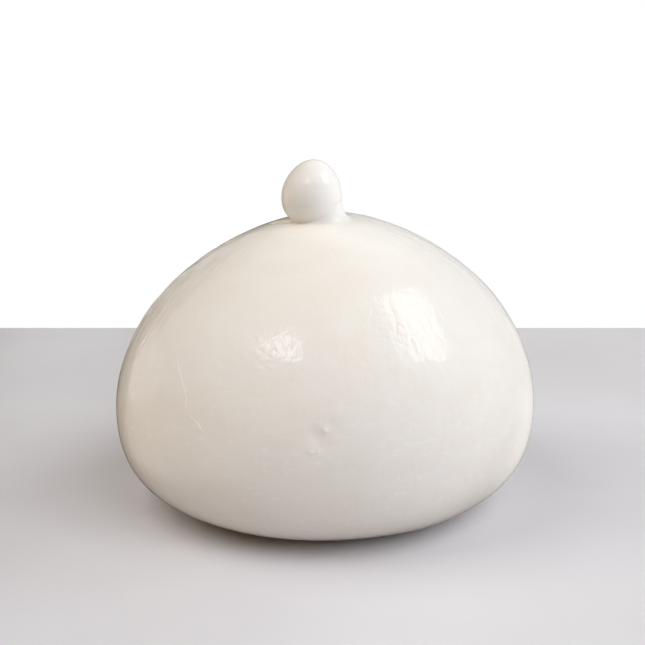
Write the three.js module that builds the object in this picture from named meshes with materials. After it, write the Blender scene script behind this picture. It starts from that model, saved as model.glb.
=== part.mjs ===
// Buffalo mozzarella: one soft white ball of stretched curd that has sagged onto a flat foot. On top sits
// the egg-shaped knob left where the ball was pinched off. One side of the knob is tucked straight into
// the ball, and on the other side a short skirt of skin runs down to it. A small navel marks the front.
//
// Millimetres, +Z up. The front faces -Y. The origin is on the surface that the cheese rests on, under the
// middle of its belly.
import * as THREE from "three";
import { ParametricGeometry } from "three/addons/geometries/ParametricGeometry.js";

// The ball: its widest ring, the flat foot below it and the dome above it.
const BELLY_RADIUS = 43;
const BELLY_HEIGHT = 19.6;
const FOOT_RADIUS = 21.5;
const DOME_TOP = 58.4;
const LEAN = 0.016; // sideways shift towards +X for each millimetre above the belly

// The ball's side is two Bezier quarters that meet at the belly. Lengths of their handles:
const FOOT_HANDLE = 10.7;
const BELLY_HANDLE_DOWN = 15.8;
const BELLY_HANDLE_UP = 22.5;
const TOP_HANDLE = 17.6;

// The ball is a little out of round, by these shares of its radius in two and in four waves around it.
const TWO_WAVE_SHARE = 0.006;
const FOUR_WAVE_SHARE = 0.003;

// The knob, an egg whose middle stands in front of the top of the dome and to the left of it.
const KNOB_X = -3.45;
const KNOB_Y = -6.1;
const KNOB_RADIUS = 6;
const KNOB_WIDEST_HEIGHT = 61.5;
const KNOB_TOP = 68.9;
const KNOB_LOWER_LENGTH = 6.3; // from the widest ring down to the buried end of the egg
const NECK_RADIUS = 4.6; // where the egg sinks into the ball

// The skirt of skin round the foot of the knob is wide and high on the +X side and dies away around it.
const SKIRT_WIDTH = 2.5;
const SKIRT_RISE = 0.85; // how far its edge reaches from the ball towards the knob's widest ring
const SKIRT_LEAST_RISE = 0.06;
const SKIRT_NARROWING = 3; // how fast the skirt dies away
const SKIRT_HOLLOW = 0.75; // under 1 the skirt is hollow, spreading most at its foot
const CREASE_DEPTH = 0.3; // how far the egg overhangs the edge of the skirt

// The navel, a dent in the front.
const NAVEL_X = -1.5;
const NAVEL_HEIGHT = 24;
const NAVEL_RADIUS = 2.5;
const NAVEL_DEPTH = 0.9;

// Facets: the slices around the ball crowd towards the front, where the navel is.
const SLICES = 100;
const FRONT = -Math.PI / 2;
const FRONT_CROWDING = 0.45;
const HALVINGS = 40; // steps of the search for a place on a curve

const cheeseSkin = new THREE.MeshStandardMaterial({ color: 0xf2eee6, roughness: 0.25, metalness: 0 });

const underside = new THREE.CubicBezierCurve(
  new THREE.Vector2(FOOT_RADIUS, 0),
  new THREE.Vector2(FOOT_RADIUS + FOOT_HANDLE, 0),
  new THREE.Vector2(BELLY_RADIUS, BELLY_HEIGHT - BELLY_HANDLE_DOWN),
  new THREE.Vector2(BELLY_RADIUS, BELLY_HEIGHT),
);
const dome = new THREE.CubicBezierCurve(
  new THREE.Vector2(BELLY_RADIUS, BELLY_HEIGHT),
  new THREE.Vector2(BELLY_RADIUS, BELLY_HEIGHT + BELLY_HANDLE_UP),
  new THREE.Vector2(TOP_HANDLE, DOME_TOP),
  new THREE.Vector2(0, DOME_TOP),
);

// The share of the way up the dome's curve at which it has come in to a radius, found by halving.
function domeShare(radius) {
  const place = new THREE.Vector2();
  let below = 0;
  let above = 1;
  for (let step = 0; step < HALVINGS; step += 1) {
    const middle = (below + above) / 2;
    if (dome.getPoint(middle, place).x > radius) {
      below = middle;
    } else {
      above = middle;
    }
  }
  return (below + above) / 2;
}
const NECK_SHARE = domeShare(NECK_RADIUS);

// Turns a share of the way around into an angle about +Z, with the front in the middle.
function aroundAngle(share) {
  const straight = 2 * Math.PI * (share - 0.5);
  return FRONT + straight - FRONT_CROWDING * Math.sin(straight);
}

// How far out of round the ball is at an angle.
function swell(angle) {
  return 1 + TWO_WAVE_SHARE * Math.sin(2 * angle) + FOUR_WAVE_SHARE * Math.sin(4 * angle);
}

// Height of the dome over a place in plan.
function domeHeight(x, y) {
  const radius = Math.hypot(x, y) / swell(Math.atan2(y, x));
  return dome.getPoint(domeShare(radius)).y;
}

// Share of the skirt at an angle: 1 on the +X side of the knob, nothing on the far side.
function skirtShare(angle) {
  return ((1 + Math.cos(angle)) / 2) ** SKIRT_NARROWING;
}

// Radius of the line around the knob where its skin meets the ball.
function neckRadius(angle) {
  return NECK_RADIUS + SKIRT_WIDTH * skirtShare(angle);
}

// Radius of the egg below its widest ring.
function eggRadius(height) {
  const share = (KNOB_WIDEST_HEIGHT - height) / KNOB_LOWER_LENGTH;
  return KNOB_RADIUS * Math.sqrt(1 - share * share);
}

// Heights of the skirt's foot on the ball and of its edge on the knob.
function skirtHeights(angle) {
  const radius = neckRadius(angle);
  const foot = domeHeight(KNOB_X + radius * Math.cos(angle), KNOB_Y + radius * Math.sin(angle));
  const rise = SKIRT_LEAST_RISE + (SKIRT_RISE - SKIRT_LEAST_RISE) * skirtShare(angle);
  return { foot, edge: foot + (KNOB_WIDEST_HEIGHT - foot) * rise };
}

// The stretches of the skin, from the middle of the foot up to the top of the knob. Each function sets the
// point at an angle and at a share t of the way along its stretch.
function setAround(point, x, y, radius, angle, height) {
  point.set(x + radius * Math.cos(angle), y + radius * Math.sin(angle), height);
}

function footPoint(angle, t, point) {
  setAround(point, 0, 0, FOOT_RADIUS * swell(angle) * t, angle, 0);
}

function undersidePoint(angle, t, point) {
  const place = underside.getPoint(t);
  setAround(point, 0, 0, place.x * swell(angle), angle, place.y);
}

// The rings of the dome start around the ball and end around the knob.
function domePoint(angle, t, point) {
  const pull = t ** 3;
  const around = dome.getPoint(t * NECK_SHARE).x * swell(angle);
  const radius = around + pull * (neckRadius(angle) - NECK_RADIUS * swell(angle));
  setAround(point, pull * KNOB_X, pull * KNOB_Y, radius, angle, 0);
  point.z = domeHeight(point.x, point.y);
}

function skirtPoint(angle, t, point) {
  const { foot, edge } = skirtHeights(angle);
  const wide = neckRadius(angle);
  const narrow = eggRadius(edge) - CREASE_DEPTH;
  const radius = wide + (narrow - wide) * t ** SKIRT_HOLLOW;
  setAround(point, KNOB_X, KNOB_Y, radius, angle, foot + (edge - foot) * t);
}

// The knob's overhang, which starts in the crease above the skirt.
function overhangPoint(angle, t, point) {
  const { edge } = skirtHeights(angle);
  const height = edge + (KNOB_WIDEST_HEIGHT - edge) * t;
  const crease = CREASE_DEPTH * (1 - t) ** 2;
  setAround(point, KNOB_X, KNOB_Y, eggRadius(height) - crease, angle, height);
}

function knobPoint(angle, t, point) {
  const turn = (t * Math.PI) / 2;
  const height = KNOB_WIDEST_HEIGHT + (KNOB_TOP - KNOB_WIDEST_HEIGHT) * Math.sin(turn);
  setAround(point, KNOB_X, KNOB_Y, KNOB_RADIUS * Math.cos(turn), angle, height);
}

const STRETCHES = [
  { rings: 1, pointAt: footPoint },
  { rings: 10, pointAt: undersidePoint },
  { rings: 28, pointAt: domePoint },
  { rings: 4, pointAt: skirtPoint },
  { rings: 4, pointAt: overhangPoint },
  { rings: 8, pointAt: knobPoint },
];
const RINGS = STRETCHES.reduce((sum, stretch) => sum + stretch.rings, 0);

// Presses the navel straight back into the front of the ball.
function pressNavel(point) {
  const away = Math.hypot(point.x - NAVEL_X, point.z - NAVEL_HEIGHT) / NAVEL_RADIUS;
  if (point.y < 0) {
    point.y += NAVEL_DEPTH * Math.exp(-away * away);
  }
}

// A point of the whole skin, from its share u around and its share v of the rings.
function skinPoint(u, v, point) {
  let ring = Math.round(v * RINGS);
  let index = 0;
  while (ring > STRETCHES[index].rings) {
    ring -= STRETCHES[index].rings;
    index += 1;
  }
  const { rings, pointAt } = STRETCHES[index];
  pointAt(aroundAngle(u), ring / rings, point);
  pressNavel(point);
  point.x += LEAN * (point.z - BELLY_HEIGHT);
}

function makeCheese() {
  const skin = new ParametricGeometry(skinPoint, SLICES, RINGS);
  skin.computeVertexNormals();
  const mesh = new THREE.Mesh(skin, cheeseSkin);
  mesh.name = "mozzarella";
  return mesh;
}

const mozzarella = new THREE.Group();
mozzarella.add(makeCheese());

export default mozzarella;
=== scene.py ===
"""A ball of buffalo mozzarella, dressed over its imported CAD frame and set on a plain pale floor.

The ball is one closed mesh with the form of its solid. On that form lies the relief of stretched curd:
a slightly lumpy body, fibres and cracks that run down from the knob, a few creases and a navel. Its skin
is a wet, milky material whose finest ripples are bump. Lengths are millimetres in the classes that shape
the cheese, and metres in the finishes and the studio.
"""

from __future__ import annotations

import logging
import math
from collections.abc import Mapping
from dataclasses import dataclass
from enum import Enum

import bpy
import numpy as np
from mathutils import Matrix, Vector, noise
from numpy.typing import NDArray


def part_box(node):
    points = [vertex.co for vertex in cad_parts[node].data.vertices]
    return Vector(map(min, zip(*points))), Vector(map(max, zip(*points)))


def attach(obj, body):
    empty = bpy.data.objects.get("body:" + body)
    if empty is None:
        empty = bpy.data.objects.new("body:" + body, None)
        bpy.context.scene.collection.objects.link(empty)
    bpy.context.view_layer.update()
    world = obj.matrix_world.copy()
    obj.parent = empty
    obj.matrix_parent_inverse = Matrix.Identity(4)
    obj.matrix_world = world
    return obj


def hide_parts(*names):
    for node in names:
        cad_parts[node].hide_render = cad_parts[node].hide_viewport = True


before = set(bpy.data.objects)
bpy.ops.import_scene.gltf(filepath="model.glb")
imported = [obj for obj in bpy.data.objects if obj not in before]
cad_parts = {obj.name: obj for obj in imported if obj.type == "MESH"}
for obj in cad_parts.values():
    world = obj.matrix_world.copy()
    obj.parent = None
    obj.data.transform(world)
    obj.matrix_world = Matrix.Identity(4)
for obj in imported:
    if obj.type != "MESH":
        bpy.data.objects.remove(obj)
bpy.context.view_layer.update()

Array = NDArray[np.float64]
Band = tuple[float, float]
Triple = tuple[float, float, float]
Colour = tuple[float, float, float, float]

NODE = "mozzarella"
BODY = "root"
FIBRE_ATTRIBUTE = "fibre"
STRENGTH_ATTRIBUTE = "strengths"
CREASE_ATTRIBUTE = "crease_place"
MILLIMETRE = 0.001
FRONT = -math.pi / 2
MEAN_NOISE = 0.5
LEAST_LENGTH = 1e-9

logger = logging.getLogger("mozzarella")


def smooth_step(low: float, high: float, value: Array) -> Array:
    """Eases from 0 at one value to 1 at another.

    Args:
        low: Value at which the result leaves 0.
        high: Value at which the result reaches 1.
        value: Values to ease.

    Returns:
        The eased shares, from 0 to 1.
    """
    share = np.clip((value - low) / (high - low), 0, 1)
    return share * share * (3 - 2 * share)


def cloud(places: Array) -> Array:
    """Reads smooth noise, roughly from -1 to 1, at an array of places.

    Args:
        places: Array whose last axis holds x, y and z, in widths of the noise's lumps.

    Returns:
        The noise, in the array's shape without its last axis.
    """
    flat = places.reshape(-1, 3)
    values = [noise.noise(Vector(place)) for place in flat]
    return np.array(values).reshape(places.shape[:-1])


def direction(azimuth: float, elevation: float) -> Vector:
    """Turns two angles into a direction.

    Args:
        azimuth: Degrees from +X towards +Y.
        elevation: Degrees above the floor.

    Returns:
        The direction, one unit long.
    """
    around = math.radians(azimuth)
    up = math.radians(elevation)
    return Vector((math.cos(up) * math.cos(around), math.cos(up) * math.sin(around), math.sin(up)))


@dataclass(frozen=True)
class CubicCurve:
    """A cubic curve in the plane of radius and height, with a handle at each end."""

    start: tuple[float, float]
    start_handle: tuple[float, float]
    end_handle: tuple[float, float]
    end: tuple[float, float]

    def at(self, share: Array) -> tuple[Array, Array]:
        """Finds points along the curve.

        Args:
            share: Shares of the way along it.

        Returns:
            The radii and the heights.
        """
        rest = 1 - share
        weights = (rest**3, 3 * rest**2 * share, 3 * rest * share**2, share**3)
        corners = (self.start, self.start_handle, self.end_handle, self.end)
        radius = sum(weight * corner[0] for weight, corner in zip(weights, corners))
        height = sum(weight * corner[1] for weight, corner in zip(weights, corners))
        return radius, height


@dataclass(frozen=True)
class Ball:
    """The squat ball, which has sagged onto a flat foot."""

    belly_radius: float
    belly_height: float = 19.6
    foot_radius: float = 21.5
    dome_top: float = 58.4
    lean: float = 0.016
    foot_handle: float = 10.7
    belly_handle_down: float = 15.8
    belly_handle_up: float = 22.5
    top_handle: float = 17.6
    two_wave_share: float = 0.006
    four_wave_share: float = 0.003
    curve_steps: int = 4000

    @property
    def underside(self) -> CubicCurve:
        """The side of the ball from its foot up to its belly."""
        return CubicCurve(
            (self.foot_radius, 0),
            (self.foot_radius + self.foot_handle, 0),
            (self.belly_radius, self.belly_height - self.belly_handle_down),
            (self.belly_radius, self.belly_height),
        )

    @property
    def dome(self) -> CubicCurve:
        """The side of the ball from its belly up to its top."""
        return CubicCurve(
            (self.belly_radius, self.belly_height),
            (self.belly_radius, self.belly_height + self.belly_handle_up),
            (self.top_handle, self.dome_top),
            (0, self.dome_top),
        )

    def swell(self, angle: Array) -> Array:
        """Gives how far out of round the ball is at an angle, as a factor on its radius."""
        return 1 + self.two_wave_share * np.sin(2 * angle) + self.four_wave_share * np.sin(4 * angle)

    def dome_share(self, radius: Array | float) -> Array:
        """Finds how far up the dome's curve it has come in to a radius.

        Args:
            radius: The radius.

        Returns:
            The share of the way up the curve.
        """
        shares = np.linspace(0, 1, self.curve_steps)
        radii, _ = self.dome.at(shares)
        return np.interp(radius, radii[::-1], shares[::-1])

    def dome_height(self, x: Array, y: Array) -> Array:
        """Finds the dome's height over places in plan.

        Args:
            x: Places along X, without the lean.
            y: Places along Y.

        Returns:
            The heights.
        """
        radius = np.hypot(x, y) / self.swell(np.arctan2(y, x))
        return self.dome.at(self.dome_share(radius))[1]


@dataclass(frozen=True)
class Knob:
    """The egg-shaped knob on top, with a skirt of skin that runs down from it on the +X side."""

    top: float
    x: float = -3.45
    y: float = -6.1
    radius: float = 6.0
    widest_height: float = 61.5
    lower_length: float = 6.3
    neck_radius: float = 4.6
    skirt_width: float = 2.5
    skirt_rise: float = 0.85
    skirt_least_rise: float = 0.06
    skirt_narrowing: float = 3.0
    skirt_hollow: float = 0.75
    crease_depth: float = 0.3
    taper: float = 0.1
    tip_shift: float = 0.3

    def skirt_share(self, angle: Array) -> Array:
        """Gives the skirt's share at an angle: 1 on the +X side, nothing on the far side."""
        return ((1 + np.cos(angle)) / 2) ** self.skirt_narrowing

    def neck_at(self, angle: Array) -> Array:
        """Gives the radius of the line around the knob where its skin meets the ball."""
        return self.neck_radius + self.skirt_width * self.skirt_share(angle)

    def egg_radius(self, height: Array) -> Array:
        """Gives the egg's radius at a height below its widest ring."""
        share = (self.widest_height - height) / self.lower_length
        return self.radius * np.sqrt(1 - share**2)

    def skirt_heights(self, ball: Ball, angle: Array) -> tuple[Array, Array]:
        """Finds the skirt's two edges.

        Args:
            ball: The ball that the knob stands on.
            angle: Angles around the knob.

        Returns:
            The heights of the skirt's foot on the ball and of its edge on the knob.
        """
        radius = self.neck_at(angle)
        foot = ball.dome_height(self.x + radius * np.cos(angle), self.y + radius * np.sin(angle))
        growth = self.skirt_rise - self.skirt_least_rise
        rise = self.skirt_least_rise + growth * self.skirt_share(angle)
        return foot, foot + (self.widest_height - foot) * rise


@dataclass(frozen=True)
class Dimple:
    """A round dent in the front, or a bump where its depth is below 0."""

    x: float
    height: float
    radius: float
    depth: float

    def press(self, skin: Array) -> Array:
        """Finds how far the dimple presses each point of a skin straight back."""
        away = np.hypot(skin[..., 0] - self.x, skin[..., 2] - self.height) / self.radius
        return np.where(skin[..., 1] < 0, self.depth * np.exp(-(away**2)), 0)


@dataclass(frozen=True)
class Navel:
    """The navel in the front: a shallow hollow with two dents in it, and a lump and a dent below it."""

    dimples: tuple[Dimple, ...] = (
        Dimple(-1.5, 24.0, 2.6, 0.32),
        Dimple(-1.9, 24.8, 1.1, 0.1),
        Dimple(0.8, 26.6, 1.1, 0.13),
        Dimple(-2.7, 22.8, 1.0, -0.13),
        Dimple(-2.9, 20.7, 1.2, 0.1),
    )

    def press(self, skin: Array) -> None:
        """Presses the navel straight back into the front of a skin, in place."""
        skin[..., 1] += sum(dimple.press(skin) for dimple in self.dimples)


@dataclass(frozen=True)
class Crease:
    """A thin fold of skin along a few places near the surface, which fades out at both ends. Along it the
    skin is painted pale: partly a paler skin, partly a painted highlight for the glint along the fold.

    Where its height is below 0 it is a groove.
    """

    places: tuple[Triple, ...]
    width: float = 0.6
    height: float = 0.07
    strength: float = 1.0
    wander: float = 0.5
    wander_length: float = 3.0
    reach: float = 1.6

    def measure(self, skin: Array) -> tuple[Array, Array]:
        """Measures where each point of a skin lies beside the crease.

        Args:
            skin: Points of the skin.

        Returns:
            The distances from the crease's middle, below 0 on its left, and its strength there.
        """
        wandering = skin + self.wander * cloud(skin / self.wander_length)[..., None]
        pieces = len(self.places) - 1
        nearest = np.full(skin.shape[:-1], np.inf)
        beside = np.zeros(skin.shape[:-1])
        along = np.zeros(skin.shape[:-1])
        for piece in range(pieces):
            start = np.array(self.places[piece])
            run = np.array(self.places[piece + 1]) - start
            share = np.clip((wandering - start) @ run / (run @ run), 0, 1)
            offset = wandering - start - share[..., None] * run
            away = np.linalg.norm(offset, axis=-1)
            side = np.cross(run, skin * np.array((1, 1, 0)))
            closer = away < nearest
            beside = np.where(closer, np.copysign(away, (offset * side).sum(axis=-1)), beside)
            along = np.where(closer, (piece + share) / pieces, along)
            nearest = np.minimum(away, nearest)
        fade = self.strength * np.sqrt(np.sin(math.pi * along))
        return beside, fade * (1 - smooth_step(self.reach / 2, self.reach, nearest))


@dataclass(frozen=True)
class Crumple:
    """A round patch of crumpled film on the skin."""

    place: Triple
    radius: float
    edge_power: int = 4

    def share(self, skin: Array) -> Array:
        """Finds how crumpled each point of a skin is, which dies away around the patch's middle."""
        away = np.linalg.norm(skin - np.array(self.place), axis=-1) / self.radius
        return np.exp(-(away**self.edge_power))


@dataclass(frozen=True)
class CurdRelief:
    """The unevenness of stretched curd, as heights along the skin's normals."""

    lump_length: float = 16.0
    lump_height: float = 0.16
    dent_length: float = 7.0
    dent_height: float = 0.05
    dimple_length: float = 3.0
    dimple_height: float = 0.014
    fibres_around: float = 13.0
    fibre_length: float = 14.0
    fibre_height: float = 0.05
    crack_share: float = 0.3
    crack_depth: float = 0.04
    patch_length: float = 14.0
    patch_edge: float = 0.3
    patch_offset: float = 7.3
    shoulder_dent_length: float = 4.5
    shoulder_dent_height: float = 0.16
    shoulder_offset: float = 3.1
    knob_lump_length: float = 5.0
    knob_lump_height: float = 0.1
    knob_lump_start: Band = (59.0, 61.5)
    foot_clearance: float = 4.0

    def height(self, skin: Array, fibre: Array, strengths: Array) -> Array:
        """Measures the relief.

        Args:
            skin: Points of the skin.
            fibre: Each point's place among the fibres: a unit circle around the ball, and the way down.
            strengths: How uneven, fibrous and stroked each point is, from 0 to 1.

        Returns:
            The heights.
        """
        uneven, fibrous, stroked = np.moveaxis(strengths, -1, 0)
        among = fibre * np.array((self.fibres_around, self.fibres_around, 1 / self.fibre_length))
        strand = cloud(among)
        lumps = self.lump_height * cloud(skin / self.lump_length)
        dents = self.dent_height * cloud(skin / self.dent_length)
        dimples = self.dimple_height * cloud(skin / self.dimple_length)
        cracked = cloud(skin / self.patch_length + self.patch_offset)
        patch = smooth_step(-self.patch_edge, self.patch_edge, cracked)
        cracks = -self.crack_depth * patch * np.exp(-((strand / self.crack_share) ** 2))
        hollows = cloud(skin / self.shoulder_dent_length + self.shoulder_offset)
        shoulder = self.shoulder_dent_height * hollows
        knob = self.knob_lump_height * cloud(skin / self.knob_lump_length)
        rest = smooth_step(0, self.foot_clearance, skin[..., 2])
        body = lumps + uneven * (dents + dimples) + fibrous * (self.fibre_height * strand + cracks)
        body = body + stroked * shoulder + smooth_step(*self.knob_lump_start, skin[..., 2]) * knob
        return rest * body


class Stretch(Enum):
    """The stretches of the skin from the foot's middle to the knob's top, with their rings."""

    FOOT = ("foot", 4)
    UNDERSIDE = ("underside", 46)
    DOME = ("dome", 200)
    SKIRT = ("skirt", 10)
    OVERHANG = ("overhang", 10)
    KNOB = ("knob", 24)

    @property
    def rings(self) -> int:
        """The number of rings of points."""
        return self.value[1]


class Term:
    """A value in a node tree. Operators on it add Math nodes."""

    def __init__(self, bench: NodeBench, socket: bpy.types.NodeSocket) -> None:
        """Wraps an output socket of a bench's tree."""
        self.bench = bench
        self.socket = socket

    def combine(self, operation: str, first: Term | float, second: Term | float) -> Term:
        """Adds one Math node.

        Args:
            operation: The node's operation.
            first: Its first value.
            second: Its second value.

        Returns:
            The result.
        """
        node = self.bench.add("ShaderNodeMath", {"operation": operation}, {0: first, 1: second})
        return Term(self.bench, node.outputs[0])

    def __add__(self, other: Term | float) -> Term:
        """Adds a value."""
        return self.combine("ADD", self, other)

    def __radd__(self, other: float) -> Term:
        """Adds this value to a number."""
        return self.combine("ADD", other, self)

    def __sub__(self, other: Term | float) -> Term:
        """Takes a value away."""
        return self.combine("SUBTRACT", self, other)

    def __rsub__(self, other: float) -> Term:
        """Takes this value from a number."""
        return self.combine("SUBTRACT", other, self)

    def __mul__(self, other: Term | float) -> Term:
        """Multiplies by a value."""
        return self.combine("MULTIPLY", self, other)

    def __rmul__(self, other: float) -> Term:
        """Multiplies a number by this value."""
        return self.combine("MULTIPLY", other, self)

    def __abs__(self) -> Term:
        """Takes the sign away."""
        return self.combine("ABSOLUTE", self, 0)


@dataclass(frozen=True)
class Grain:
    """How fine a noise is: its lumps for each unit, its octaves, and a factor on its places."""

    scale: float
    detail: float
    stretch: Triple | None = None


class NodeBench:
    """A node tree in the making."""

    COLOUR_A = 6
    COLOUR_B = 7
    COLOUR_RESULT = 2

    def __init__(self, tree: bpy.types.NodeTree) -> None:
        """Empties a tree to start from."""
        self.tree = tree
        self.tree.nodes.clear()

    def add(
        self,
        kind: str,
        settings: Mapping[str, object] | None = None,
        sockets: Mapping[str | int, object] | None = None,
    ) -> bpy.types.Node:
        """Adds a node.

        Args:
            kind: The node's type.
            settings: Its properties, which are set first.
            sockets: Values or links of its inputs, by name or number.

        Returns:
            The node.
        """
        node = self.tree.nodes.new(kind)
        for name, value in (settings or {}).items():
            setattr(node, name, value)
        for name, value in (sockets or {}).items():
            if isinstance(value, Term):
                self.tree.links.new(value.socket, node.inputs[name])
            elif isinstance(value, bpy.types.NodeSocket):
                self.tree.links.new(value, node.inputs[name])
            else:
                node.inputs[name].default_value = value
        return node

    def stored(self, name: str) -> bpy.types.NodeSocket:
        """Reads the vector of an attribute that is stored on the mesh."""
        return self.add("ShaderNodeAttribute", {"attribute_name": name}).outputs["Vector"]

    def parts(self, vector: bpy.types.NodeSocket) -> list[Term]:
        """Takes a vector apart into its three numbers."""
        split = self.add("ShaderNodeSeparateXYZ", {}, {0: vector})
        return [Term(self, part) for part in split.outputs]

    def stretch(self, places: bpy.types.NodeSocket, by: Triple) -> bpy.types.NodeSocket:
        """Multiplies places by a factor along each axis."""
        node = self.add("ShaderNodeVectorMath", {"operation": "MULTIPLY"}, {0: places, 1: by})
        return node.outputs[0]

    def noise_node(self, places: bpy.types.NodeSocket, grain: Grain) -> bpy.types.Node:
        """Adds a noise texture.

        Args:
            places: Where the noise is read.
            grain: How fine it is.

        Returns:
            The texture's node.
        """
        if grain.stretch:
            places = self.stretch(places, grain.stretch)
        sockets = {"Vector": places, "Scale": grain.scale, "Detail": grain.detail}
        return self.add("ShaderNodeTexNoise", {}, sockets)

    def noise(self, places: bpy.types.NodeSocket, grain: Grain) -> Term:
        """Gives smooth noise at places."""
        return Term(self, self.noise_node(places, grain).outputs["Fac"])

    def ridges(self, places: bpy.types.NodeSocket, grain: Grain) -> Term:
        """Gives how far a noise is from its mean, which makes sharp valleys between round ridges."""
        return abs(self.noise(places, grain) - MEAN_NOISE)

    def ease(self, value: Term, band: Band) -> Term:
        """Adds a smooth step.

        Args:
            value: The value to ease.
            band: Where the result leaves 0 and where it reaches 1.

        Returns:
            The eased value.
        """
        node = self.add(
            "ShaderNodeMapRange",
            {"interpolation_type": "SMOOTHSTEP"},
            {"Value": value, "From Min": band[0], "From Max": band[1]},
        )
        return Term(self, node.outputs[0])

    def blend(
        self,
        share: Term,
        first: Colour | bpy.types.NodeSocket,
        second: Colour | bpy.types.NodeSocket,
    ) -> bpy.types.NodeSocket:
        """Mixes two colours.

        Args:
            share: Share of the second colour.
            first: The colour at 0.
            second: The colour at 1.

        Returns:
            The mixed colour.
        """
        colours = {"Factor": share, self.COLOUR_A: first, self.COLOUR_B: second}
        node = self.add("ShaderNodeMix", {"data_type": "RGBA"}, colours)
        return node.outputs[self.COLOUR_RESULT]


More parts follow.
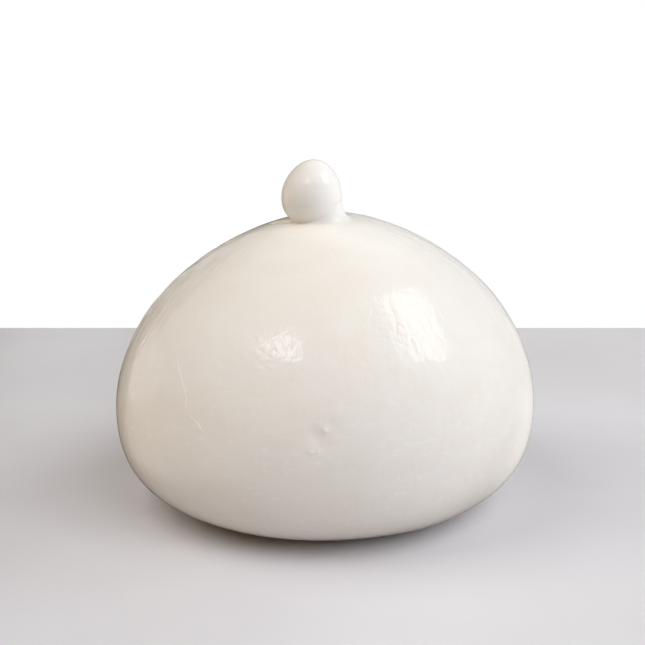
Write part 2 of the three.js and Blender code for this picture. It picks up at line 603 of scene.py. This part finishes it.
@dataclass(frozen=True)
class CheeseFinish:
    """Wet, milky skin: glossy, mottled warm and cool, with fine ripples along the fibres.

    Noises of the skin are read in metres and distances beside a crease in millimetres. Noises of the
    fibres have their grain in the stretch alone. Heights and depths are shares of the bump's depth.
    """

    milk: Colour = (0.862, 0.824, 0.775, 1)
    cream: Colour = (0.845, 0.794, 0.728, 1)
    whey: Colour = (0.842, 0.803, 0.766, 1)
    # Pale skin for the specks, and also the colour of the painted highlights along the creases and of the
    # painted light on the knob's right side.
    pale: Colour = (0.97, 0.95, 0.92, 1)
    clouds: Grain = Grain(42, 3)
    streaks: Grain = Grain(120, 5, (1, 1, 2.4))
    cloud_share: float = 0.5
    streak_share: float = 0.5
    cream_band: Band = (0.38, 0.64)
    whey_clouds: Grain = Grain(33, 2, (1, 1, 1.6))
    whey_band: Band = (0.45, 0.7)
    whey_share: float = 0.5
    specks: Grain = Grain(520, 3, (1, 1, 2.0))
    speck_band: Band = (0.55, 0.75)
    speck_fade: Band = (0.018, 0.042)
    speck_share: float = 0.3
    # Where the knob's right side is painted paler: painted light, as if lit from the right.
    knob_lit_across: Band = (-0.006, 0.003)
    knob_lit_up: Band = (0.055, 0.06)
    knob_lit_share: float = 0.6
    rags: Grain = Grain(900, 1)
    rag_width: float = 0.4
    fold_band: Band = (0.05, 0.36)
    fold_height: float = 0.3
    wear: Grain = Grain(90, 3)
    wear_band: Band = (0.4, 0.72)
    wet_roughness: float = 0.05
    dull_roughness: float = 0.1
    refraction: float = 1.5
    wrinkles: Grain = Grain(1, 1, (15, 15, 0.22))
    wrinkle_height: float = 1.3
    fine_wrinkles: Grain = Grain(1, 1, (55, 55, 0.45))
    fine_height: float = 0.25
    crinkles: Grain = Grain(620, 0)
    cells: Triple = (22, 22, 0.31)
    cell_bends: Grain = Grain(300, 1)
    cell_bend: Triple = (0.9, 0.9, 0.9)
    groove_band: Band = (0, 0.07)
    groove_depth: float = 0.09
    strokes: Grain = Grain(1, 1, (26, 26, 0.1))
    stroke_band: Band = (0, 0.09)
    stroke_breaks: Grain = Grain(160, 4)
    break_band: Band = (0.45, 0.56)
    stroke_depth: float = 0.45
    ripples: Grain = Grain(420, 1)
    ripple_height: float = 0.3
    pits: Grain = Grain(520, 0, (1, 1, 0.6))
    pit_band: Band = (0.64, 0.8)
    pit_depth: float = 0.1
    bump_depth: float = 0.00012

    def body_colour(self, bench: NodeBench, places: bpy.types.NodeSocket) -> bpy.types.NodeSocket:
        """Mixes the colour of the skin between its creases.

        Args:
            bench: The material's bench.
            places: Places on the skin.

        Returns:
            The colour: milk mottled with cream and whey, paler in specks low down, and painted paler on
                the right half of the knob and the top of its skirt, a painted lit side.
        """
        clouds = bench.noise(places, self.clouds)
        streaks = bench.noise(places, self.streaks)
        warm = bench.ease(self.cloud_share * clouds + self.streak_share * streaks, self.cream_band)
        cool = bench.ease(bench.noise(places, self.whey_clouds), self.whey_band)
        curd = bench.blend(warm, self.milk, self.cream)
        body = bench.blend(self.whey_share * cool, curd, self.whey)
        x, _, z = bench.parts(places)
        # Painted light: the right half of the knob and the top of its skirt are painted paler, as if lit
        # from the right.
        knob_lit = bench.ease(x, self.knob_lit_across) * bench.ease(z, self.knob_lit_up)
        specks = bench.ease(bench.noise(places, self.specks), self.speck_band)
        low = 1 - bench.ease(z, self.speck_fade)
        paler = self.speck_share * specks * low + self.knob_lit_share * knob_lit
        return bench.blend(paler, body, self.pale)

    def grooves(
        self,
        bench: NodeBench,
        places: bpy.types.NodeSocket,
        fibre: bpy.types.NodeSocket,
    ) -> Term:
        """Finds the grooves between bent cells of film that lie along the fibres.

        Args:
            bench: The material's bench.
            places: Places on the skin.
            fibre: Places among the fibres.

        Returns:
            The grooves, 1 at their deepest.
        """
        bends = bench.noise_node(places, self.cell_bends).outputs["Color"]
        bent = bench.add(
            "ShaderNodeVectorMath",
            {"operation": "MULTIPLY_ADD"},
            {0: bends, 1: self.cell_bend, 2: bench.stretch(fibre, self.cells)},
        )
        cells = bench.add(
            "ShaderNodeTexVoronoi",
            {"feature": "DISTANCE_TO_EDGE"},
            {"Vector": bent.outputs[0], "Scale": 1},
        )
        return 1 - bench.ease(Term(bench, cells.outputs["Distance"]), self.groove_band)

    def film_height(self, bench: NodeBench, places: bpy.types.NodeSocket, crumpled: Term) -> Term:
        """Adds up the finest relief of the wet film.

        Args:
            bench: The material's bench.
            places: Places on the skin.
            crumpled: How crumpled the film is there.

        Returns:
            The height of wrinkles, crumples, ripples, strokes and pits together.
        """
        fibre = bench.stored(FIBRE_ATTRIBUTE)
        _, fibrous, stroked = bench.parts(bench.stored(STRENGTH_ATTRIBUTE))
        wrinkles = bench.ridges(fibre, self.wrinkles)
        fine = bench.ridges(fibre, self.fine_wrinkles)
        crinkles = bench.ridges(places, self.crinkles)
        grooves = self.grooves(bench, places, fibre)
        breaks = bench.ease(bench.noise(places, self.stroke_breaks), self.break_band)
        strokes = (1 - bench.ease(bench.ridges(fibre, self.strokes), self.stroke_band)) * breaks
        ripples = bench.noise(places, self.ripples)
        pits = bench.ease(bench.noise(places, self.pits), self.pit_band)
        crumple = crumpled * (crinkles - self.groove_depth * grooves)
        threads = fibrous * (self.wrinkle_height * wrinkles + self.fine_height * fine)
        film = threads + crumple + self.ripple_height * ripples
        return film - self.stroke_depth * stroked * strokes - self.pit_depth * pits

    def make(self) -> bpy.types.Material:
        """Makes the material.

        Returns:
            The material.
        """
        material = bpy.data.materials.new("wet_curd")
        material.use_nodes = True
        bench = NodeBench(material.node_tree)
        places = bench.add("ShaderNodeTexCoord").outputs["Object"]
        beside, fold_and_glint_strength, crumpled = bench.parts(bench.stored(CREASE_ATTRIBUTE))
        ragged = abs(beside + self.rag_width * (bench.noise(places, self.rags) - MEAN_NOISE))
        # Painted highlight along the creases and on the navel's dots: pale colour standing in for their
        # glints, on the left creases partly paler skin. The same mask raises the folds in the bump.
        fold = fold_and_glint_strength * (1 - bench.ease(ragged, self.fold_band))
        colour = bench.blend(fold, self.body_colour(bench, places), self.pale)
        wear = bench.ease(bench.noise(places, self.wear), self.wear_band)
        roughness = self.wet_roughness + (self.dull_roughness - self.wet_roughness) * wear
        height = self.film_height(bench, places, crumpled) + self.fold_height * fold
        bump = bench.add("ShaderNodeBump", {}, {"Distance": self.bump_depth, "Height": height})
        shader = bench.add(
            "ShaderNodeBsdfPrincipled",
            {},
            {
                "Base Color": colour,
                "Roughness": roughness,
                "IOR": self.refraction,
                "Normal": bump.outputs[0],
            },
        )
        bench.add("ShaderNodeOutputMaterial", {}, {"Surface": shader.outputs[0]})
        return material


@dataclass(frozen=True)
class FloorFinish:
    """Plain pale floor with a faint unevenness."""

    pale: Colour = (0.65, 0.635, 0.66, 1)
    paler: Colour = (0.70, 0.685, 0.71, 1)
    clouds: Grain = Grain(14, 3)
    cloud_band: Band = (0.3, 0.7)
    roughness: float = 0.35

    def make(self) -> bpy.types.Material:
        """Makes the material.

        Returns:
            The material.
        """
        material = bpy.data.materials.new("pale_floor")
        material.use_nodes = True
        bench = NodeBench(material.node_tree)
        places = bench.add("ShaderNodeTexCoord").outputs["Object"]
        clouds = bench.ease(bench.noise(places, self.clouds), self.cloud_band)
        colour = bench.blend(clouds, self.pale, self.paler)
        sockets = {"Base Color": colour, "Roughness": self.roughness}
        shader = bench.add("ShaderNodeBsdfPrincipled", {}, sockets)
        bench.add("ShaderNodeOutputMaterial", {}, {"Surface": shader.outputs[0]})
        return material


@dataclass(frozen=True)
class Mozzarella:
    """The whole cheese: ball, knob, navel, creases and skin relief as one closed mesh."""

    ball: Ball
    knob: Knob
    navel: Navel
    creases: tuple[Crease, ...]
    crumples: tuple[Crumple, ...]
    relief: CurdRelief
    finish: CheeseFinish
    columns: int = 330
    front_crowding: float = 0.6
    knob_pull: int = 3
    soft_rings: int = 10
    softenings: int = 16
    least_softening: float = 0.06
    shoulder_height: float = 42.0
    low_share: float = 0.35
    even_reach: float = 4.0
    smooth_reach: float = 2.0
    stroke_rise: float = 8.0
    stroke_back: Band = (-24.0, -10.0)
    stroke_right: Band = (0.0, 20.0)
    right_thinning: float = 0.6
    front_stroke_share: float = 0.1

    @classmethod
    def from_frame(cls) -> Mozzarella:
        """Sizes the cheese from its solid in the frame.

        Returns:
            The cheese.
        """
        low, high = (np.array(corner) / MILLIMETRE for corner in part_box(NODE))
        left_upper = (
            (-25.9, -28.5, 34.9),
            (-25.2, -30.6, 32.3),
            (-24.1, -33.3, 29.4),
            (-24.1, -34.5, 26.3),
        )
        left_lower = ((-23.6, -35.2, 25.7), (-22.1, -36.4, 24.8), (-20.7, -37.4, 23.8))
        left_front = ((-19.3, -37.3, 30.2), (-16.4, -38.7, 30.8), (-13.6, -39.7, 31.5))
        beside_knob = ((-6.8, -7.8, 56.7), (-8.5, -5.4, 56.8), (-10.8, -3.2, 56.4))
        # The line under the skirt and the streak and three dots in the navel are painted glints: pale
        # colour along a faint ridge.
        skirt_foot_ridge_and_glint = ((-0.6, -9.0, 57.2), (0.8, -7.2, 57.6), (2.2, -4.7, 58.0))
        navel_glint = ((-0.6, -42.5, 26.0), (0.2, -42.4, 25.1))
        left_glint = ((-2.9, -42.7, 21.9), (-2.7, -42.7, 22.0))
        middle_glint = ((-2.3, -42.8, 22.1), (-2.1, -42.8, 22.0))
        right_glint = ((-1.4, -42.8, 22.0), (-1.2, -42.8, 21.9))
        return cls(
            ball=Ball(belly_radius=(high[0] - low[0]) / 2),
            knob=Knob(top=high[2]),
            navel=Navel(),
            creases=(
                Crease(left_upper),
                Crease(left_lower),
                Crease(left_front, strength=0.5),
                Crease(beside_knob, width=0.55, height=-14.0, strength=0.05, wander=0.3),
                Crease(skirt_foot_ridge_and_glint, width=0.5, height=0.15, strength=0.7, wander=0.3),
                Crease(navel_glint, height=0.12, strength=1.5, wander=0),
                Crease(left_glint, height=0.06, strength=1.8, wander=0),
                Crease(middle_glint, height=0.06, strength=1.5, wander=0),
                Crease(right_glint, height=0.06, strength=1.9, wander=0),
            ),
            crumples=(Crumple((14.5, -31.2, 41.5), 9.0), Crumple((-8.6, -35.6, 38.3), 6.0)),
            relief=CurdRelief(),
            finish=CheeseFinish(),
        )

    def angles(self) -> Array:
        """Gives the angle of each column of points, crowded towards the front."""
        straight = 2 * math.pi * (np.arange(self.columns) / self.columns - 0.5)
        return FRONT + straight - self.front_crowding * np.sin(straight)

    def stretch_points(self, stretch: Stretch, share: Array, angle: Array) -> Array:
        """Finds points of one stretch of the bare skin.

        Args:
            stretch: Which stretch.
            share: Shares of the way along it, one row each.
            angle: Angles around it, one column each.

        Returns:
            The points, in rows and columns.
        """
        ball = self.ball
        knob = self.knob
        swell = ball.swell(angle)
        foot, edge = knob.skirt_heights(ball, angle)
        pull = np.ones_like(share)
        if stretch is Stretch.FOOT:
            pull = 0 * share
            radius = ball.foot_radius * swell * share
            height = 0 * radius
        elif stretch is Stretch.UNDERSIDE:
            pull = 0 * share
            around, level = ball.underside.at(share)
            radius = around * swell
            height = level + 0 * radius
        elif stretch is Stretch.DOME:
            pull = share**self.knob_pull
            around, _ = ball.dome.at(share * ball.dome_share(knob.neck_radius))
            radius = around * swell + pull * (knob.neck_at(angle) - knob.neck_radius * swell)
            x = pull * knob.x + radius * np.cos(angle)
            y = pull * knob.y + radius * np.sin(angle)
            height = ball.dome_height(x, y)
        elif stretch is Stretch.SKIRT:
            wide = knob.neck_at(angle)
            narrow = knob.egg_radius(edge) - knob.crease_depth
            radius = wide + (narrow - wide) * share**knob.skirt_hollow
            height = foot + (edge - foot) * share
        elif stretch is Stretch.OVERHANG:
            height = edge + (knob.widest_height - edge) * share
            radius = knob.egg_radius(height) - knob.crease_depth * (1 - share) ** 2
        else:
            turn = share * math.pi / 2
            radius = knob.radius * np.cos(turn) * (1 - knob.taper * np.sin(turn) ** 2) + 0 * angle
            height = knob.widest_height + (knob.top - knob.widest_height) * np.sin(turn) + 0 * angle
            pull = 1 + knob.tip_shift / knob.x * np.sin(turn) ** 2
        x = pull * knob.x + radius * np.cos(angle)
        y = pull * knob.y + radius * np.sin(angle)
        return np.stack((x, y, height), axis=-1)

    def bare_skin(self) -> Array:
        """Finds the points of the skin without its relief.

        Returns:
            The points, in rings from the foot's middle up to the knob's top.
        """
        angle = self.angles()[None, :]
        rows = []
        for stretch in Stretch:
            share = np.arange(1, stretch.rings + 1)[:, None] / stretch.rings
            rows.append(self.stretch_points(stretch, share, angle))
        skin = np.concatenate(rows)
        self.soften_neck(skin)
        self.navel.press(skin)
        skin[..., 0] += self.ball.lean * (skin[..., 2] - self.ball.belly_height)
        return skin

    def soften_neck(self, skin: Array) -> None:
        """Rounds off the turns between dome, skirt and knob.

        Args:
            skin: Points of the skin, which are moved in place.
        """
        below = Stretch.FOOT.rings + Stretch.UNDERSIDE.rings + Stretch.DOME.rings
        above = below + Stretch.SKIRT.rings + Stretch.OVERHANG.rings
        band = slice(below - self.soft_rings, above + self.soft_rings // 2)
        share = self.knob.skirt_share(self.angles())[:, None] ** (1 / self.knob.skirt_narrowing)
        pace = (self.least_softening + (1 - self.least_softening) * share) / 2
        for _ in range(self.softenings):
            middle = (skin[:-2] + skin[2:]) / 2
            skin[band] += pace * (middle[band.start - 1 : band.stop - 1] - skin[band])

    def fibre_places(self, skin: Array) -> Array:
        """Places each point of a skin among the fibres that run down from the knob.

        Args:
            skin: Points of the skin.

        Returns:
            For each point its place on a unit circle around, and its way along the fibre.
        """
        angle = self.angles() + np.zeros(skin.shape[:2])
        steps = np.linalg.norm(np.diff(skin, axis=0), axis=-1)
        along = np.concatenate((np.zeros((1, self.columns)), np.cumsum(steps, axis=0)))
        return np.stack((np.cos(angle), np.sin(angle), along), axis=-1)

    def strengths(self, skin: Array) -> Array:
        """Finds how strong the kinds of fine relief are at each point of a skin.

        Unevenness is strongest on the shoulders, weak below and absent on the knob. Fibres also stay away
        from the smooth stretch in front of the knob. Strokes are few in front and fewer on the right.

        Args:
            skin: Points of the skin.

        Returns:
            The strengths of unevenness, fibres and strokes at each point, from 0 to 1.
        """
        x, y, z = np.moveaxis(skin, -1, 0)
        knob = self.knob
        from_knob = np.hypot(x - knob.x, y - knob.y)
        forward = np.clip((knob.y - y) / np.maximum(from_knob, knob.radius), 0, 1)
        upper = smooth_step(self.ball.belly_height, self.shoulder_height, z)
        share = self.low_share + (1 - self.low_share) * upper
        beyond = smooth_step(knob.radius, self.even_reach * knob.radius, from_knob)
        uneven = share * np.where(upper > 0, beyond, 1)
        near = knob.radius * (1 + forward)
        clear = np.clip((from_knob - near) / (self.smooth_reach * near), 0, 1)
        fibrous = share * np.where(upper > 0, clear * clear, 1)
        high = smooth_step(self.ball.belly_height + self.stroke_rise, self.shoulder_height, z)
        right = smooth_step(*self.stroke_right, x)
        behind = smooth_step(*self.stroke_back, y) * (1 - self.right_thinning * right)
        stroked = uneven * high * (self.front_stroke_share + (1 - self.front_stroke_share) * behind)
        return np.stack((uneven, fibrous, stroked), axis=-1)

    @staticmethod
    def normals(skin: Array) -> Array:
        """Finds the outward direction at each point of a skin.

        Args:
            skin: Points of the skin.

        Returns:
            The directions, one unit long.
        """
        around = np.roll(skin, -1, axis=1) - np.roll(skin, 1, axis=1)
        outward = np.cross(around, np.gradient(skin, axis=0))
        return outward / np.maximum(np.linalg.norm(outward, axis=-1, keepdims=True), LEAST_LENGTH)

    def faces(self, rings: int) -> list[list[int]]:
        """Joins the points of the skin by faces.

        Args:
            rings: Number of whole rings. The point of the foot's middle comes before them and the knob's
                top after them.

        Returns:
            The faces' corners.
        """
        column = np.arange(self.columns)
        beside = (column + 1) % self.columns
        bottom = 1 + np.arange(rings - 1)[:, None] * self.columns
        top = bottom + self.columns
        sides = np.stack((bottom + column, bottom + beside, top + beside, top + column), axis=-1)
        last = 1 + (rings - 1) * self.columns
        peak = last + self.columns
        foot = [[0, 1 + int(near), 1 + int(here)] for here, near in zip(column, beside)]
        tip = [[peak, last + int(here), last + int(near)] for here, near in zip(column, beside)]
        return foot + sides.reshape(-1, 4).tolist() + tip

    @staticmethod
    def store(mesh: bpy.types.Mesh, name: str, values: Array) -> None:
        """Stores values of the skin's points on its mesh.

        Args:
            mesh: The mesh.
            name: Name of the attribute.
            values: Three numbers for each point, in rings and columns.
        """
        flat = np.concatenate((values[0, :1], values[:-1].reshape(-1, 3), values[-1, :1]))
        attribute = mesh.attributes.new(name, "FLOAT_VECTOR", "POINT")
        attribute.data.foreach_set("vector", flat.ravel())

    def build(self) -> bpy.types.Object:
        """Builds and dresses the cheese, and ties it to the frame.

        Returns:
            The cheese.
        """
        bare = self.bare_skin()
        fibre = self.fibre_places(bare)
        strengths = self.strengths(bare)
        height = self.relief.height(bare, fibre, strengths)
        beside = np.full(height.shape, np.inf)
        # Strength of the nearest crease, kept for its pale painted highlight and its bump.
        fold_and_glint_strength = np.zeros(height.shape)
        for crease in self.creases:
            away, strength = crease.measure(bare)
            height = height + crease.height * strength * np.exp(-((away / crease.width) ** 2))
            closer = np.abs(away) < np.abs(beside)
            beside = np.where(closer, away, beside)
            fold_and_glint_strength = np.where(closer, strength, fold_and_glint_strength)
        crumpled = sum(crumple.share(bare) for crumple in self.crumples)
        skin = bare + height[..., None] * self.normals(bare)
        foot_middle = (-self.ball.lean * self.ball.belly_height, 0, 0)
        knob_top = skin[-1].mean(axis=0)
        points = np.concatenate(([foot_middle], skin[:-1].reshape(-1, 3), [knob_top]))

        mesh = bpy.data.meshes.new(NODE + "_skin")
        mesh.from_pydata((points * MILLIMETRE).tolist(), [], self.faces(len(skin) - 1))
        mesh.shade_smooth()
        self.store(mesh, FIBRE_ATTRIBUTE, fibre)
        self.store(mesh, STRENGTH_ATTRIBUTE, strengths)
        self.store(mesh, CREASE_ATTRIBUTE, np.stack((beside, fold_and_glint_strength, crumpled), axis=-1))
        mesh.materials.append(self.finish.make())
        cheese = bpy.data.objects.new(NODE + "_skin", mesh)
        bpy.context.collection.objects.link(cheese)
        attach(cheese, BODY)
        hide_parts(NODE)
        return cheese


class Use(Enum):
    """What a studio light is for."""

    LIGHT = "light"
    GLOSS = "gloss"


@dataclass(frozen=True)
class Softbox:
    """A rectangular studio light that faces the cheese, given by where it stands in the cheese's sky."""

    FILL_WIDTH = 0.8
    FILL_DISTANCE = 1.0
    FILL_RISE = 23

    name: str
    middle: tuple[float, float]
    upper_end: tuple[float, float]
    width: float
    power: float
    colour: Triple = (1.0, 1.0, 1.0)
    distance: float = 0.6
    use: Use = Use.GLOSS
    softness: float = 0.0

    @classmethod
    def fill(cls, name: str, middle: tuple[float, float], power: float, colour: Triple) -> Softbox:
        """Plans a large, distant light that does not show in the gloss.

        Args:
            name: Its name.
            middle: Azimuth and elevation of its middle.
            power: Its power.
            colour: Its colour.

        Returns:
            The light.
        """
        upper_end = (middle[0], middle[1] + cls.FILL_RISE)
        return cls(name, middle, upper_end, cls.FILL_WIDTH, power, colour, cls.FILL_DISTANCE, Use.LIGHT)

    def hang(self, target: Vector) -> bpy.types.Object:
        """Hangs the light.

        Args:
            target: The place that it faces.

        Returns:
            The light.
        """
        away = direction(*self.middle)
        upper = direction(*self.upper_end)
        upward = (upper - upper.dot(away) * away).normalized()
        sideways = upward.cross(away)
        lamp = bpy.data.lights.new(self.name, "AREA")
        lamp.shape = "RECTANGLE"
        lamp.size = self.width
        lamp.size_y = 2 * self.distance * math.tan(upper.angle(away))
        lamp.energy = self.power
        lamp.color = self.colour
        if self.softness:
            self.soften(lamp)
        light = bpy.data.objects.new(self.name, lamp)
        turn = Matrix((sideways, upward, away)).transposed()
        light.matrix_world = Matrix.Translation(target + self.distance * away) @ turn.to_4x4()
        light.visible_glossy = self.use is not Use.LIGHT
        light.visible_diffuse = self.use is not Use.GLOSS
        light.visible_camera = False
        bpy.context.collection.objects.link(light)
        return light

    def soften(self, lamp: bpy.types.AreaLight) -> None:
        """Fades the light out towards its edges.

        Args:
            lamp: The light's data.
        """
        lamp.use_nodes = True
        bench = NodeBench(lamp.node_tree)
        across, along, _ = bench.parts(bench.add("ShaderNodeNewGeometry").outputs["Parametric"])
        band = (0, self.softness)
        share = bench.ease(1 - abs(2 * across - 1), band) * bench.ease(1 - abs(2 * along - 1), band)
        glow = bench.add("ShaderNodeEmission", {}, {"Strength": share})
        bench.add("ShaderNodeOutputLight", {}, {"Surface": glow.outputs[0]})


@dataclass(frozen=True)
class Studio:
    """The floor, the lights, the surroundings and the camera."""

    floor_width: float = 1.4
    floor_front: float = -0.6
    floor_back: float = 0.174
    surroundings: Colour = (0.075, 0.057, 0.038, 1)
    backdrop: Colour = (1, 1, 1, 1)
    aim: Triple = (0.0, 0.0, 0.03)
    camera_place: Triple = (-0.0007, -0.183, 0.07035)
    camera_pitch: float = 10.8
    lens: float = 50.0
    sensor: float = 36.0
    lights: tuple[Softbox, ...] = (
        Softbox("key_core", (-10, 49), (12, 62), 0.24, 0.72, softness=0.06),
        Softbox("key_panel", (-9, 49), (27, 67), 0.44, 0.16, distance=0.66, softness=0.3),
        Softbox("front_pane", (-122, 53), (-129, 60), 0.1, 0.2, (0.97, 1.0, 1.03), softness=0.1),
        Softbox("front_side_pane", (-139, 49), (-146, 56), 0.04, 0.065, (0.97, 1.0, 1.03), softness=0.1),
        Softbox("left_window", (157, 6), (155, 17), 0.36, 0.14, (1.03, 1.0, 0.94), softness=0.05),
        Softbox("back_strip", (111, 7), (111, 28), 0.13, 0.08, (0.98, 0.98, 1.05), softness=0.4),
        Softbox("backdrop", (81, 45), (81, 77), 0.95, 1.5, distance=0.66, softness=0.8),
        Softbox("right_back_card", (65, 8), (65, 28), 0.75, 0.5, softness=0.7),
        Softbox("right_rim", (48, -20), (48, 4), 0.64, 0.7, (1.03, 1.0, 0.97), softness=0.8),
        Softbox("left_low_card", (188, -20), (188, 4), 1.43, 1.1, (1.08, 1.0, 0.87), softness=0.6),
        Softbox.fill("right_fill", (25, 25), 3.7, (0.952, 0.998, 1.025)),
        Softbox.fill("front_fill", (-45, 42), 6.4, (0.962, 0.993, 1.03)),
        Softbox.fill("side_fill", (-18, 28), 3.0, (0.947, 0.988, 1.045)),
        Softbox.fill("left_fill", (-172, 50), 6.1, (0.995, 0.99, 0.955)),
        Softbox.fill("left_low_fill", (-165, 6), 1.0, (1.3, 0.68, 0.08)),
    )

    def lay_floor(self) -> bpy.types.Object:
        """Lays the floor.

        Returns:
            The floor.
        """
        half = self.floor_width / 2
        corners = (
            (-half, self.floor_front, 0),
            (half, self.floor_front, 0),
            (half, self.floor_back, 0),
            (-half, self.floor_back, 0),
        )
        mesh = bpy.data.meshes.new("floor")
        mesh.from_pydata(corners, [], [(0, 1, 2, 3)])
        mesh.materials.append(FloorFinish().make())
        floor = bpy.data.objects.new("floor", mesh)
        bpy.context.collection.objects.link(floor)
        floor.visible_glossy = False
        return floor

    def surround(self) -> None:
        """Makes the surroundings, dim and warm to the cheese and white behind it."""
        world = bpy.data.worlds.new("studio")
        bpy.context.scene.world = world
        world.use_nodes = True
        bench = NodeBench(world.node_tree)
        seen = bench.add("ShaderNodeLightPath").outputs["Is Camera Ray"]
        dim = bench.add("ShaderNodeBackground", {}, {"Color": self.surroundings})
        white = bench.add("ShaderNodeBackground", {}, {"Color": self.backdrop})
        mixed = bench.add("ShaderNodeMixShader", {}, {0: seen, 1: dim.outputs[0], 2: white.outputs[0]})
        bench.add("ShaderNodeOutputWorld", {}, {"Surface": mixed.outputs[0]})

    def set_camera(self) -> bpy.types.Object:
        """Sets the camera.

        Returns:
            The camera.
        """
        data = bpy.data.cameras.new("camera")
        data.lens = self.lens
        data.sensor_width = self.sensor
        camera = bpy.data.objects.new("camera", data)
        camera.location = self.camera_place
        camera.rotation_euler = (math.radians(90 - self.camera_pitch), 0, 0)
        bpy.context.collection.objects.link(camera)
        bpy.context.scene.camera = camera
        return camera

    def build(self) -> None:
        """Sets the studio up around the cheese."""
        floor = self.lay_floor()
        logger.info("%s is laid", floor.name)
        for light in self.lights:
            light.hang(Vector(self.aim))
        self.surround()
        self.set_camera()
        bpy.context.scene.view_settings.view_transform = "Standard"
        logger.info("%d lights and the camera are set", len(self.lights))


def main() -> None:
    """Builds the cheese and its studio, and reports each piece."""
    logging.basicConfig(level=logging.INFO, format="%(name)s: %(message)s")
    cheese = Mozzarella.from_frame().build()
    logger.info("%s has %d faces", cheese.name, len(cheese.data.polygons))
    Studio().build()


if __name__ == "__main__":
    main()
